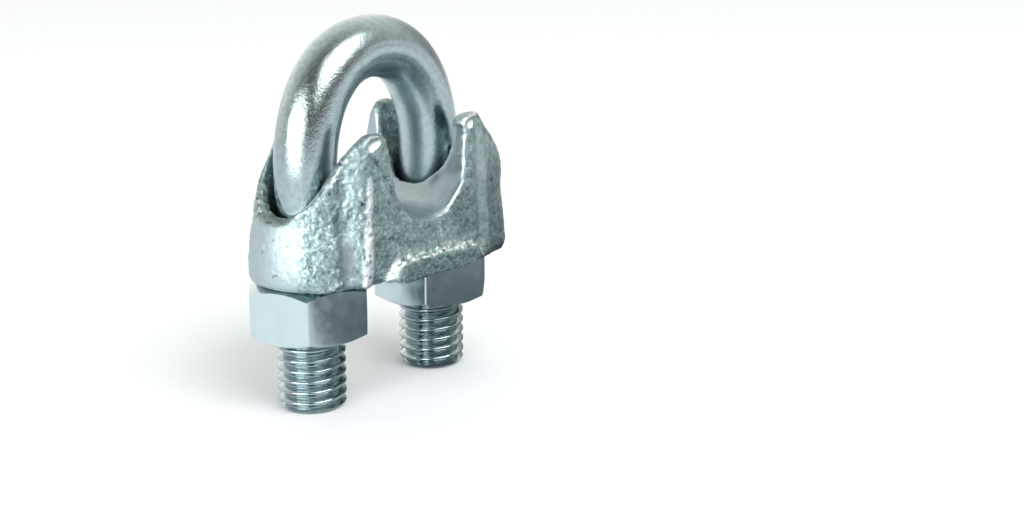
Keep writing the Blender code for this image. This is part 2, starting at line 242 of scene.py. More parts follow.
def thread_solid(name, first_turn, turns, shape, phase, steps):
    """Right-handed thread as a closed solid, made of one climbing strip."""
    bm = bmesh.new()
    rows = []
    for turn in range(turns):
        rows += [(first_turn + turn + share, radius) for share, radius in shape]
    per_turn = len(shape)
    grid = []
    for i in range(steps):
        a = 2.0 * math.pi * i / steps
        lift = i / steps
        column = []
        for height, radius in rows:
            z = (height + lift) * THREAD_PITCH + phase
            column.append(bm.verts.new((radius * math.cos(a), radius * math.sin(a), z)))
        grid.append(column)
    last = len(rows)
    for i in range(steps):
        here = grid[i]
        there = grid[(i + 1) % steps]
        skip = per_turn if i == steps - 1 else 0
        for k in range(last - 1):
            if k + 1 + skip < last:
                bm.faces.new((here[k], there[k + skip], there[k + 1 + skip], here[k + 1]))
    rim = [e for e in bm.edges if e.is_boundary]
    low = bm.verts.new((0.0, 0.0, (first_turn + 0.5) * THREAD_PITCH + phase))
    high = bm.verts.new((0.0, 0.0, (first_turn + turns - 0.5) * THREAD_PITCH + phase))
    middle = (low.co.z + high.co.z) / 2
    for edge in rim:
        a, b = edge.verts
        hub = low if (a.co.z + b.co.z) / 2 < middle else high
        bm.faces.new((a, b, hub))
    bmesh.ops.recalc_face_normals(bm, faces=bm.faces)
    return add_object(name, mesh_from(name, bm))


# --------------------------------------------------------------- the U-bolt


def crown_line():
    """Stations of the plain rod's centre line, from leg to leg."""
    start = THREAD_LENGTH - 0.9 * MM
    straight = 14
    bend = 130
    points = []
    for i in range(straight):
        z = start + (BEND_START - start) * i / straight
        points.append(Vector((-HALF_PITCH, 0.0, z)))
    for i in range(bend + 1):
        a = math.pi * (1.0 - i / bend)
        c = math.cos(a)
        s = math.sin(a)
        x = HALF_PITCH * math.copysign(abs(c) ** (2.0 / CROWN_POWER), c)
        z = BEND_START + CROWN_RISE * abs(s) ** (2.0 / CROWN_POWER)
        points.append(Vector((x, 0.0, z)))
    for i in range(straight):
        z = BEND_START + (start - BEND_START) * (i + 1) / straight
        points.append(Vector((HALF_PITCH, 0.0, z)))
    return points


def even_spacing(points, step):
    """The same line with its points about step apart."""
    lengths = [0.0]
    for a, b in zip(points, points[1:]):
        lengths.append(lengths[-1] + (b - a).length)
    count = round(lengths[-1] / step)
    spots = np.array([tuple(p) for p in points])
    at = np.linspace(0.0, lengths[-1], count + 1)
    return [Vector([float(np.interp(s, lengths, spots[:, k])) for k in range(3)]) for s in at]


def tool_flat(centre, around):
    """Depth of the flat that the bending tool left on the crown's front side."""
    outward = math.degrees(around) - 270.0      # from the front, towards the outside
    step = smoothstep(-outward, -17.0, -11.0) * (1 - smoothstep(-outward, 25.0, 60.0))
    start = smoothstep(centre.x, -4.5 * MM, -1.5 * MM)
    fade = smoothstep(centre.z, BEND_START - 3.0 * MM, BEND_START + 2.0 * MM)
    return float(0.09 * MM * step * start * fade)


def rod_mesh():
    """The bent rod: round, with a shallow flat on the crown's front side."""
    line = even_spacing(crown_line(), 0.30 * MM)
    bm = bmesh.new()
    rings = []
    count = len(line)
    for i, centre in enumerate(line):
        ahead = line[min(i + 1, count - 1)]
        behind = line[max(i - 1, 0)]
        along = (ahead - behind).normalized()
        side = Vector((0.0, 1.0, 0.0))
        out = along.cross(side).normalized()
        ring = []
        for k in range(ROD_SIDES):
            a = 2.0 * math.pi * (k + 0.5) / ROD_SIDES
            way = out * math.cos(a) + side * math.sin(a)
            ring.append(bm.verts.new(centre + way * (ROD_RADIUS - tool_flat(centre, a))))
        rings.append(ring)
    for low, high in zip(rings, rings[1:]):
        for k in range(ROD_SIDES):
            j = (k + 1) % ROD_SIDES
            bm.faces.new((low[k], low[j], high[j], high[k]))
    bm.faces.new(list(reversed(rings[0])))
    bm.faces.new(rings[-1])
    bmesh.ops.recalc_face_normals(bm, faces=bm.faces)
    return mesh_from("rod", bm)


def press_marks(obj):
    """Low creases and flats that bending leaves on the inside of the crown."""
    spots = vertex_array(obj.data)
    ways = normal_array(obj.data)
    centre = np.array([0.0, 0.0, BEND_START + CROWN_RISE * 0.25])
    towards = centre - spots
    towards /= np.linalg.norm(towards, axis=1)[:, None]
    inside = smoothstep((towards * ways).sum(1), 0.25, 0.95)
    bend = smoothstep(spots[:, 2], BEND_START + 3 * MM, BEND_START + 7 * MM)
    lumps = noise_field(spots, 2.6 * MM, 3, 2)
    fine = noise_field(spots, 0.9 * MM, 8, 2)
    depth = inside * bend * (0.10 * lumps + 0.03 * fine) * MM
    skin = 0.008 * MM * noise_field(spots, 1.6 * MM, 21, 2)
    spots += ways * (np.minimum(depth, 0.04 * MM) + skin)[:, None]
    set_vertices(obj.data, spots)


def threaded_leg(name, x):
    shape = rounded_thread(THREAD_MINOR, THREAD_MAJOR, 0.20, 0.20)
    leg = thread_solid(name, -2, 22, shape, LEG_THREAD_START, THREAD_STEPS)
    run_out = 0.6 * MM
    blank = lathe("blank", [
        (0.0, 0.0), (END_RADIUS - 0.25 * MM, 0.0), (END_RADIUS, 0.08 * MM),
        (THREAD_MAJOR + 0.1 * MM, END_CHAMFER + 0.1 * MM),
        (THREAD_MAJOR + 0.1 * MM, THREAD_LENGTH - run_out),
        (THREAD_MINOR + 0.1 * MM, THREAD_LENGTH), (0.0, THREAD_LENGTH)], 120, 0.01)
    combine(leg, blank, "INTERSECT")
    leg.location.x = x
    bpy.context.view_layer.update()
    return leg


def build_u_bolt():
    bolt = add_object("u_bolt_plated", rod_mesh())
    press_marks(bolt)
    for name, x in (("left thread", -HALF_PITCH), ("right thread", HALF_PITCH)):
        combine(bolt, threaded_leg(name, x), "UNION")
    bolt.data.transform(Matrix.Translation((MIDDLE_X, LEG_Y, 0.0)))
    tidy(bolt, 0.002 * MM)
    smooth(bolt, 38)
    spots = vertex_array(bolt.data) - np.array([MIDDLE_X, LEG_Y, CROWN_TOP - 16.0 * MM])
    outward = spots / np.linalg.norm(spots, axis=1)[:, None]
    facing = (outward * normal_array(bolt.data)).sum(1)
    bent = smoothstep(spots[:, 2], -4.0 * MM, 3.0 * MM)
    store_value(bolt.data, "peel", bent * smoothstep(facing, -0.1, 0.5))
    # Inner sides of the plain rod: a rougher finish, and a lighter colour that is painted light
    # lifting their shade.
    plain = smoothstep(spots[:, 2], -5.5 * MM, -4.5 * MM)
    store_value(bolt.data, "inner", plain * (1 - smoothstep(facing, -0.35, 0.25)))
    return bolt


# ----------------------------------------------------------------- the nuts


def hexagon_block(turn):
    """Six-sided block with its upright corners eased by a small bevel."""
    bm = bmesh.new()
    height = NUT_HIGH.z - NUT_LOW.z
    bmesh.ops.create_cone(bm, cap_ends=True, segments=6, radius1=NUT_CORNER,
                          radius2=NUT_CORNER, depth=height)
    upright = [e for e in bm.edges if abs(e.verts[0].co.z - e.verts[1].co.z) > height / 2]
    bmesh.ops.bevel(bm, geom=upright, offset=0.16 * MM, segments=3, profile=0.5,
                    affect="EDGES")
    spin = Matrix.Rotation(turn - math.radians(30.0), 4, "Z")
    lift = Matrix.Translation((0.0, 0.0, (NUT_HIGH.z + NUT_LOW.z) / 2))
    bmesh.ops.transform(bm, matrix=lift @ spin, verts=bm.verts)
    return mesh_from("hexagon", bm)


def nut_envelope():
    slope = math.tan(math.radians(30.0))
    over = NUT_CORNER + 0.2 * MM
    drop = (over - NUT_FACE_RADIUS) * slope
    low = NUT_LOW.z
    high = NUT_HIGH.z
    return lathe("envelope", [
        (0.0, low), (NUT_FACE_RADIUS, low), (over, low + drop),
        (over, high - drop), (NUT_FACE_RADIUS, high), (0.0, high)], 160, 0.005)


def nut_hole():
    shape = rounded_thread(THREAD_MINOR + NUT_THREAD_GAP, THREAD_MAJOR + NUT_THREAD_GAP, 0.24, 0.16)
    first = int(NUT_LOW.z / THREAD_PITCH) - 4
    return thread_solid("tap", first, 14, shape, NUT_THREAD_START, THREAD_STEPS)


def nut_mouth(face, way):
    flare = 1.2 * MM
    narrow = NUT_MOUTH - flare
    rim = (NUT_MOUTH + 0.4 * MM, face + way * 0.4 * MM)
    neck = (narrow, face - way * flare)
    points = [(0.0, neck[1]), neck, rim, (0.0, rim[1])]
    return lathe("mouth", points if way > 0 else points[::-1], 120, 0.02)


def build_nut(node, axis):
    nut = add_object(node + "_plated", hexagon_block(NUT_TURNS[node]))
    combine(nut, nut_envelope(), "INTERSECT")
    combine(nut, nut_hole(), "DIFFERENCE")
    combine(nut, nut_mouth(NUT_HIGH.z, 1.0), "DIFFERENCE")
    combine(nut, nut_mouth(NUT_LOW.z, -1.0), "DIFFERENCE")
    nut.data.transform(Matrix.Translation((axis.x, axis.y, 0.0)))
    tidy(nut, 0.002 * MM)
    smooth(nut, 24)
    return nut


# --------------------------------------------------------------- the saddle
# Its points are measured from its middle in x and y, and from the floor in z.

HORN_TOP = 32.5 * MM
SEAT_CENTRE = 27.2 * MM         # height of the rope's middle
SEAT_RADIUS = 5.5 * MM
WELL_RADIUS = 5.32 * MM
NARROW_WELL = 4.05 * MM         # measured from the leg's own axis
THREAD_CLEARANCE = 4.04 * MM
WALL_DEPTH = 1.25 * MM          # casting behind a well's wall that moves along with it
FACE_Y = 8.3 * MM               # flat face, from the saddle's middle
LIP_FRONT = -9.65 * MM
LIP_TOP = 17.95 * MM
LIP_RIM = [(-8.0 * MM, 15.2 * MM), (-6.0 * MM, LIP_TOP), (0.0, LIP_TOP),
           (7.1 * MM, LIP_TOP - 0.35 * MM), (9.2 * MM, 15.2 * MM)]
LEGS = ((-HALF_PITCH - 0.8 * MM, 0.75 * MM), (HALF_PITCH - 0.8 * MM, 0.75 * MM))
CORNER_FAR = (10.2 * MM, 8.6 * MM)      # corner's X at the base and the tip
CORNER_NEAR = (9.3 * MM, 7.7 * MM)
CORNER_BEADS = ((-1, -1, 0.21), (1, 1, 0.21), (-1, 1, 0.08))    # side, face, height in mm
FLUTE_DEPTH = 0.45 * MM
TIP_FLATS = ((-7.95 * MM, -7.45 * MM, 31.15 * MM), (7.9 * MM, -7.45 * MM, 31.25 * MM))
TIP_FLAT_LENGTH = 1.05 * MM
TIP_FLAT_WIDTH = 0.50 * MM
GRAIN_HEIGHT = 0.070 * MM
LUMP_HEIGHT = 0.05 * MM
PIT_DEPTH = 0.25 * MM


def neighbour_lists(mesh):
    edges = np.empty(len(mesh.edges) * 2, np.int32)
    mesh.edges.foreach_get("vertices", edges)
    edges = edges.reshape(-1, 2)
    degree = np.bincount(edges.ravel(), minlength=len(mesh.vertices)).astype(float)
    return edges, degree


def relax(spots, edges, degree, share, rounds):
    """Moves each point towards its neighbours' middle, by its own share."""
    for _ in range(rounds):
        total = np.zeros_like(spots)
        for k in range(3):
            total[:, k] = (np.bincount(edges[:, 0], spots[edges[:, 1], k], len(spots))
                           + np.bincount(edges[:, 1], spots[edges[:, 0], k], len(spots)))
        spots = spots + share[:, None] * (total / degree[:, None] - spots)
    return spots


def voxel_casting():
    """The CAD saddle as one even mesh, fine enough to carry its cast skin."""
    casting = add_object("saddle_casting", frame["nodes"]["saddle"].data.copy())
    casting.data.materials.clear()
    remesh = casting.modifiers.new("voxels", "REMESH")
    remesh.mode = "VOXEL"
    remesh.voxel_size = SADDLE_VOXEL
    apply_modifiers(casting)
    return casting


def lean_face(spots):
    """The front face leans out towards the lip, whose ledge is only narrow."""
    x, y, z = spots.T
    front = smoothstep(-y, 7.2 * MM, 7.9 * MM) * (1 - smoothstep(-y, 8.8 * MM, 9.1 * MM))
    span = 1 - smoothstep(abs(x), 5.8 * MM, 8.6 * MM)
    rise = np.maximum(z - LIP_TOP, 0.0)
    lean = (z > LIP_TOP) * 0.70 * MM * np.exp(-rise / (1.9 * MM))
    moved = spots.copy()
    moved[:, 1] -= front * span * lean
    return moved


def seat_mask(spots):
    """The half-round rope seat, smoother than the rest of the casting."""
    x, _, z = spots.T
    from_seat = np.hypot(x, z - SEAT_CENTRE)
    seat = 1 - smoothstep(from_seat, SEAT_RADIUS + 0.05 * MM, SEAT_RADIUS + 0.35 * MM)
    wall = 1 - smoothstep(abs(x), 5.9 * MM, 6.3 * MM)
    wall *= smoothstep(z, SEAT_CENTRE, SEAT_CENTRE + 1 * MM)
    return np.maximum(seat, wall) * smoothstep(z, 21.0 * MM, 21.8 * MM)


def narrow_wells(spots):
    """Brings the outer wall of each well close to its leg."""
    x, y, z = spots.T
    moved = spots.copy()
    for axis, out in ((LEFT_AXIS, -1.0), (RIGHT_AXIS, 1.0)):
        axis_x = axis.x - SADDLE_X
        axis_y = axis.y - SADDLE_Y
        radius = np.hypot(x - axis_x, y - axis_y)
        ux = (x - axis_x) / np.maximum(radius, 1e-6)
        uy = (y - axis_y) / np.maximum(radius, 1e-6)
        # the CAD well is round about its own middle, not about the leg
        off_x = out * HALF_PITCH - axis_x
        off_y = -axis_y
        along = off_x * ux + off_y * uy
        across = off_x * uy - off_y * ux
        wall = along + np.sqrt(WELL_RADIUS ** 2 - across ** 2)
        behind_wall = np.clip((radius - wall) / WALL_DEPTH, 0.0, 1.0)
        turn = np.degrees(np.arccos(np.clip(ux * out, -1.0, 1.0)))
        share = (1 - smoothstep(turn, 78.0, 112.0)) * (1 - behind_wall)
        share *= (radius > 3.5 * MM) * (radius < wall + 1.3 * MM)
        pull = np.maximum(wall - NARROW_WELL, 0.0) * share
        if out < 0:
            # the left wall is thinner than the CAD one towards its rim and its back
            skin = behind_wall * (1 - smoothstep(turn, 88.0, 118.0))
            skin *= radius < wall + 4.0 * MM
            high = smoothstep(z, 20.0 * MM, 23.0 * MM)
            rear = smoothstep(uy, 0.30, 0.75)
            pull = pull + skin * np.maximum(0.50 * high, 0.32 * rear) * MM
        moved[:, 0] -= pull * ux
        moved[:, 1] -= pull * uy
    return moved


def broaden_tips(spots):
    """The right front horn is thicker at its tip than the others, the left a little."""
    x, y, z = spots.T
    moved = spots.copy()
    horn = smoothstep(-y, 3.6 * MM, 4.6 * MM)
    front = horn * smoothstep(x, 4.5 * MM, 5.5 * MM)
    high = smoothstep(z, 28.6 * MM, 32.0 * MM)
    inner = 1 - smoothstep(-y, 5.9 * MM, 7.2 * MM)
    moved[:, 1] += front * high * inner * 0.95 * MM
    outer = smoothstep(x, 7.0 * MM, 8.4 * MM)
    moved[:, 0] += front * outer * smoothstep(z, 26.5 * MM, 32.2 * MM) * 0.95 * MM
    inwards = 1 - smoothstep(x, 6.3 * MM, 7.4 * MM)
    moved[:, 0] -= front * inwards * smoothstep(z, 31.0 * MM, 32.2 * MM) * 0.30 * MM
    seat_side = smoothstep(x, 3.5 * MM, 5.0 * MM) * inwards
    below = smoothstep(z, 22.5 * MM, 25.5 * MM) * (1 - smoothstep(z, 30.2 * MM, 31.6 * MM))
    moved[:, 0] += horn * seat_side * below * 0.40 * MM
    shoulder = smoothstep(z, 21.5 * MM, 26.5 * MM) * (1 - smoothstep(z, 28.5 * MM, 31.5 * MM))
    moved[:, 0] += smoothstep(-y, 3.6 * MM, 5.2 * MM) * outer * shoulder * 0.75 * MM
    left = horn * smoothstep(-x, 4.5 * MM, 5.5 * MM)
    moved[:, 0] += left * high * smoothstep(x, -8.2 * MM, -7.2 * MM) * 0.30 * MM
    return moved


def longer_lip(spots):
    """The lip runs further to the right, a little lower, and dies out at its ends."""
    x, y, z = spots.T
    moved = spots.copy()
    proud = smoothstep(-y, 8.5 * MM, 9.0 * MM) * (z < 18.6 * MM)
    moved[:, 0] += proud * smoothstep(x, 2.0 * MM, 7.5 * MM) * 0.9 * MM
    upper = smoothstep(z, 16.2 * MM, 17.6 * MM)
    moved[:, 2] -= proud * upper * smoothstep(x, 0.0, 7.0 * MM) * 0.35 * MM
    ends = np.maximum(smoothstep(-x, 5.6 * MM, 7.6 * MM), smoothstep(x, 5.0 * MM, 7.6 * MM))
    moved[:, 1] += smoothstep(-y, 8.3 * MM, 9.7 * MM) * ends * 0.95 * MM
    lower = proud * (1 - smoothstep(z, 15.3 * MM, 16.6 * MM))
    moved[:, 2] += lower * smoothstep(-x, 4.6 * MM, 7.4 * MM) * 0.45 * MM
    # the casting's low right corner reaches further down and out
    corner = smoothstep(-y, 5.8 * MM, 7.0 * MM) * smoothstep(x, 5.5 * MM, 8.5 * MM)
    low = 1 - smoothstep(z, 15.7 * MM, 18.5 * MM)
    moved[:, 2] -= (1 - proud) * corner * low * 0.90 * MM
    moved[:, 0] += corner * low * smoothstep(x, 9.0 * MM, 12.0 * MM) * 0.30 * MM
    return moved


def soften(spots, edges, degree, seat, tips):
    """Rounds the voxels' steps off: least at the legs and the base, most at the tips."""
    x, y, z = spots.T
    from_leg = np.minimum(*(np.hypot(x - leg_x, y - leg_y) for leg_x, leg_y in LEGS))
    crisp = smoothstep(from_leg, 4.4 * MM, 5.4 * MM)
    share = (0.30 + 0.20 * (1 - seat) * np.maximum(tips, 0.5)) * (0.25 + 0.75 * crisp)
    share *= 0.15 + 0.85 * smoothstep(z, 16.0 * MM, 17.2 * MM)
    spots = relax(spots, edges, degree, share, 12)
    return relax(spots, edges, degree, 0.5 * tips, 7)


def corner_distance(spots, side, front):
    """Distance in plan from the upright corner line of one quarter."""
    x, y, z = spots.T
    low, high = CORNER_FAR if side * front > 0 else CORNER_NEAR
    t = np.clip((z - SADDLE_BASE) / (HORN_TOP - SADDLE_BASE), 0.0, 1.0)
    corner_x = low + (high - low) * t
    corner_y = FACE_Y - 0.6 * MM * t
    return np.hypot(x - side * corner_x, y - front * corner_y)


def corner_beads(spots, wander, ragged):
    """Ribs up the corners: the height they add, and where the tall ones are worn."""
    z = spots[:, 2]
    lift = np.zeros(len(spots))
    worn = np.zeros(len(spots))
    slim = 1.0 - 0.35 * smoothstep(z, 18.0 * MM, 26.0 * MM)
    for side, face, height in CORNER_BEADS:
        away = corner_distance(spots, side, face) + (0.22 * ragged + 0.12 * wander) * MM
        bead = 1 - smoothstep(away / slim, 0.38 * MM, 0.80 * MM)
        bead *= 1 - smoothstep(z, 26.6 * MM, 28.2 * MM)
        lift += bead * height * (1 + 0.30 * wander) * MM
        if height > 0.2:
            worn = np.maximum(worn, bead * smoothstep(ragged, -0.55, -0.1))
    return lift, worn


def flutes(spots, ways):
    """Depth of the shallow flute between each corner and the round boss."""
    x, y, z = spots.T
    upright = 1 - smoothstep(abs(ways[:, 2]), 0.45, 0.8)
    outside = smoothstep(abs(ways[:, 1]), 0.25, 0.6) * upright
    right_front = (x > 0) & (y < 0)
    run = np.where(right_front, (x - 7.3 * MM) / (3.0 * MM), (abs(x) - 10.4 * MM) / (3.4 * MM))
    flute = np.sin(np.pi * np.clip(run, 0.0, 1.0)) ** 2
    flute *= smoothstep(abs(y), 5.6 * MM, 6.5 * MM) * outside
    return FLUTE_DEPTH * flute * smoothstep(z, 16.0 * MM, 17.5 * MM)


def line_distance(x, z, points):
    """Distance of (x, z) from an open line of points."""
    best = np.full(len(x), 1.0)
    for (x0, z0), (x1, z1) in zip(points, points[1:]):
        run, climb = x1 - x0, z1 - z0
        t = np.clip(((x - x0) * run + (z - z0) * climb) / (run ** 2 + climb ** 2), 0.0, 1.0)
        best = np.minimum(best, np.hypot(x - x0 - t * run, z - z0 - t * climb))
    return best


def lip_flash(spots, wander, ragged):
    """Ragged flash along the lip's upper edge and ends: its height and its wear."""
    x, y, z = spots.T
    off_rim = line_distance(x, z - 0.18 * MM * wander, LIP_RIM)
    ledge = np.exp(-((off_rim / (0.36 * MM)) ** 2)) * smoothstep(-y, 8.1 * MM, 8.6 * MM)
    end = smoothstep(-x, 5.0 * MM, 6.5 * MM)
    worn = ledge * smoothstep(ragged, -0.30 - 0.4 * end, 0.12 - 0.4 * end)
    return ledge * (0.07 + 0.26 * ragged) * MM, worn


def flatten_tip(spots, spot, way):
    """A small worn flat on a horn; returns the moved points and its mask."""
    offset = spots - np.array(spot)
    height = offset @ np.array(way)
    slant = (CAMERA_RIGHT + Vector((0.0, 0.0, 1.0))).normalized()
    across = way.cross(slant).normalized()
    slant = across.cross(way)
    reach = np.hypot(offset @ np.array(slant) / TIP_FLAT_LENGTH,
                     offset @ np.array(across) / TIP_FLAT_WIDTH)
    near = 1 - smoothstep(reach, 0.8, 1.0)
    near *= np.linalg.norm(offset, axis=1) < 1.5 * TIP_FLAT_LENGTH
    cut = np.maximum(height, 0.0) * near
    mask = (height > -0.03 * MM) * near
    return spots - cut[:, None] * np.array(way), mask


def left_boss(spots):
    """Smooth skin of the left boss, and of the flute before it."""
    x, y, z = spots.T
    turn = np.degrees(np.arctan2(abs(y), abs(x) - HALF_PITCH))
    boss = 1 - smoothstep(turn, 26.0, 40.0)
    boss *= (1 - smoothstep(z, 22.2 * MM, 23.6 * MM)) * (x < 0)
    flute = smoothstep(-x, 10.9 * MM, 11.4 * MM) * (1 - smoothstep(-x, 12.4 * MM, 13.4 * MM))
    flute *= 1 - smoothstep(z, 20.5 * MM, 23.5 * MM)
    return boss, flute


def right_corner(spots, wander, ragged):
    """The right front flute, smooth and lightened by a painted sheen, and a mask of painted shade
    on both its sides.
    """
    x, y, z = spots.T
    uneven = (0.22 * wander + 0.12 * ragged) * MM
    off = x - 9.3 * MM - 0.06 * (23.0 * MM - z) + uneven
    front = smoothstep(-y, 2.0 * MM, 4.5 * MM)
    flute = front * smoothstep(off, -1.6 * MM, -0.3 * MM)
    flute *= 1 - smoothstep(off, 0.2 * MM, 1.2 * MM)
    flute *= 1 - smoothstep(z, 27.5 * MM, 30.8 * MM)
    flute *= 0.75 + 0.25 * np.clip(ragged + wander, -1.0, 1.0)
    flute *= smoothstep(z, 16.4 * MM, 18.0 * MM)
    # Painted shade: the boss right of the flute is darkened in colour, and the front face left of
    # it more weakly.
    painted_shade = front * smoothstep(off, 0.6 * MM, 1.3 * MM)
    painted_shade *= 1 - 0.65 * smoothstep(z, 24.5 * MM, 28.5 * MM)
    face = smoothstep(-y, 5.5 * MM, 6.5 * MM) * (1 - smoothstep(off, -1.4 * MM, -0.8 * MM))
    face *= smoothstep(x, 2.5 * MM, 5.0 * MM) * smoothstep(z, 18.1 * MM, 18.9 * MM)
    face *= 1 - smoothstep(z, 22.5 * MM, 25.0 * MM)
    return flute, np.maximum(painted_shade, 0.6 * face)


def grain_strength(spots, left_flute, right_flute, top):
    """The grain is livelier at the left, and calmer in the flutes and on the rims."""
    x = spots[:, 0]
    lively = 1.0 + 0.8 * (1 - smoothstep(x, -10.5 * MM, -8.0 * MM))
    lively += 0.5 * (1 - smoothstep(x, -7.0 * MM, 0.0))
    return lively * (1 - 0.7 * left_flute) * (1 - 0.6 * right_flute) * (1 - 0.5 * top)


def cast_skin(spots, seat, boss, top, lively):
    """Height of the sand-cast skin, and how deep it is pitted (0 or less)."""
    coarse = noise_field(spots, 2.4 * MM, 5, 2)
    grain = noise_field(spots, 0.52 * MM, 11, 3) * (0.7 + 0.8 * np.maximum(coarse, -0.4))
    pits = noise_field(spots, 0.7 * MM, 17, 2) + 0.60 - 0.10 * top + 0.08 * boss
    pits = np.minimum(pits, 0.0) * (1 - seat)
    height = LUMP_HEIGHT * coarse + GRAIN_HEIGHT * lively * grain + PIT_DEPTH * pits
    return (1.0 - 0.9 * seat) * (1.0 - 0.70 * boss) * height, pits


def keep_clear(spots):
    """Keeps the wells off the threads, which pass as the clip opens, and all in its box."""
    spots = spots.copy()
    for axis in (LEFT_AXIS, RIGHT_AXIS):
        centre = np.array([axis.x - SADDLE_X, axis.y - SADDLE_Y])
        away = spots[:, :2] - centre
        radius = np.maximum(np.linalg.norm(away, axis=1), 1e-6)
        spots[:, :2] = centre + away * np.maximum(THREAD_CLEARANCE / radius, 1.0)[:, None]
    spots[:, 0] = np.clip(spots[:, 0], SADDLE_LOW.x - SADDLE_X,
                          SADDLE_HIGH.x - SADDLE_X - 0.02 * MM)
    spots[:, 1] = np.clip(spots[:, 1], LIP_FRONT, FACE_Y)
    return spots


def edge_wear(spots, edges, degree, mesh):
    """0 to 1: how far a point stands out of the averaged surface about it."""
    calm = relax(spots, edges, degree, np.full(len(spots), 0.5), 14)
    proud = ((spots - calm) * normal_array(mesh)).sum(1)
    return smoothstep(proud, 0.07 * MM, 0.18 * MM)


def build_saddle():
    casting = voxel_casting()
    mesh = casting.data
    edges, degree = neighbour_lists(mesh)
    middle = np.array([SADDLE_X, SADDLE_Y, 0.0])

    spots = lean_face(vertex_array(mesh) - middle)
    seat = seat_mask(spots)
    spots = longer_lip(broaden_tips(narrow_wells(spots)))
    tips = smoothstep(spots[:, 2], 29.6 * MM, 31.6 * MM)
    spots = soften(spots, edges, degree, seat, tips)
    set_vertices(mesh, spots + middle)

    ways = normal_array(mesh)
    wander = noise_field(spots, 1.6 * MM, 31, 2)
    ragged = noise_field(spots, 0.55 * MM, 37, 3)
    beads, worn = corner_beads(spots, wander, ragged)
    flash, flash_wear = lip_flash(spots, wander, ragged)
    worn = np.maximum(worn, flash_wear)
    spots = spots + ways * (beads - flutes(spots, ways) + flash)[:, None]
    halfway = (direction(0.0, 16.0) + direction(47.0, 47.0)).normalized()
    for spot in TIP_FLATS:
        spots, flat = flatten_tip(spots, spot, halfway)
        worn = np.maximum(worn, flat)
        seat = np.maximum(seat, 0.9 * flat)
    spots = relax(spots, edges, degree, 0.5 * tips, 2)

    boss, left_flute = left_boss(spots)
    right_flute, painted_shade = right_corner(spots, wander, ragged)
    boss = np.maximum(boss, 0.55 * np.maximum(left_flute, right_flute))
    # Painted sheen: the right front flute is lightened through the wear mask, more towards its top.
    painted_sheen = 0.05 + 0.20 * smoothstep(spots[:, 2], 22.0 * MM, 28.0 * MM)
    worn = np.maximum(worn, painted_sheen * right_flute)
    top = smoothstep(ways[:, 2], 0.25, 0.7) * (1 - seat)
    top *= smoothstep(spots[:, 2], 20 * MM, 21 * MM)
    lively = grain_strength(spots, left_flute, right_flute, top)
    height, pits = cast_skin(spots, seat, boss, top, lively)
    spots = keep_clear(spots + ways * height[:, None])
    set_vertices(mesh, spots + middle)

    store_value(mesh, "seat", seat)
    store_value(mesh, "boss", boss)
    store_value(mesh, "top", top)
    store_value(mesh, "painted_shade", painted_shade)
    store_value(mesh, "pits", smoothstep(-pits, 0.0, 0.15))
    store_value(mesh, "worn", np.maximum(worn, 0.8 * edge_wear(spots, edges, degree, mesh)))
    smooth(casting, 60)
    return casting


# ---------------------------------------------------------------- materials


def fill_ramp(ramp, stops):
    while len(ramp.elements) < len(stops):
        ramp.elements.new(0.5)
    for element, (spot, colour) in zip(ramp.elements, stops):
        element.position = spot
        element.color = (*colour, 1.0)


class Nodes:
    """Small helper that adds and links shader nodes."""

    def __init__(self, name):
        self.material = bpy.data.materials.new(name)
        self.material.use_nodes = True
        self.tree = self.material.node_tree
        self.shader = self.tree.nodes["Principled BSDF"]
        coords = self.tree.nodes.new("ShaderNodeTexCoord")
        self.place = coords.outputs["Object"]

    def link(self, source, target):
        self.tree.links.new(source, target)

    def noise(self, scale, detail, roughness=0.5):
        node = self.tree.nodes.new("ShaderNodeTexNoise")
        node.inputs["Scale"].default_value = scale
        node.inputs["Detail"].default_value = detail
        node.inputs["Roughness"].default_value = roughness
        self.link(self.place, node.inputs["Vector"])
        return node.outputs["Fac"]

    def remap(self, value, low, high, to_low, to_high):
        node = self.tree.nodes.new("ShaderNodeMapRange")
        node.inputs["From Min"].default_value = low
        node.inputs["From Max"].default_value = high
        node.inputs["To Min"].default_value = to_low
        node.inputs["To Max"].default_value = to_high
        self.link(value, node.inputs["Value"])
        return node.outputs["Result"]

    def math(self, operation, first, second):
        node = self.tree.nodes.new("ShaderNodeMath")
        node.operation = operation
        for socket, item in zip(node.inputs, (first, second)):
            if isinstance(item, (int, float)):
                socket.default_value = item
            else:
                self.link(item, socket)
        return node.outputs["Value"]

    def ramp(self, value, stops):
        node = self.tree.nodes.new("ShaderNodeValToRGB")
        fill_ramp(node.color_ramp, stops)
        self.link(value, node.inputs["Fac"])
        return node.outputs["Color"]

    def mix(self, share, first, second):
        node = self.tree.nodes.new("ShaderNodeMix")
        node.data_type = "RGBA"
        self.link(share, node.inputs["Factor"])
        for socket, item in ((node.inputs["A"], first), (node.inputs["B"], second)):
            if isinstance(item, tuple):
                socket.default_value = (*item, 1.0)
            else:
                self.link(item, socket)
        return node.outputs["Result"]

    def attribute(self, name):
        node = self.tree.nodes.new("ShaderNodeAttribute")
        node.attribute_name = name
        return node.outputs["Fac"]

    def bump(self, height, distance, before=None):
        node = self.tree.nodes.new("ShaderNodeBump")
        node.inputs["Distance"].default_value = distance
        self.link(height, node.inputs["Height"])
        if before is not None:
            self.link(before, node.inputs["Normal"])
        return node.outputs["Normal"]


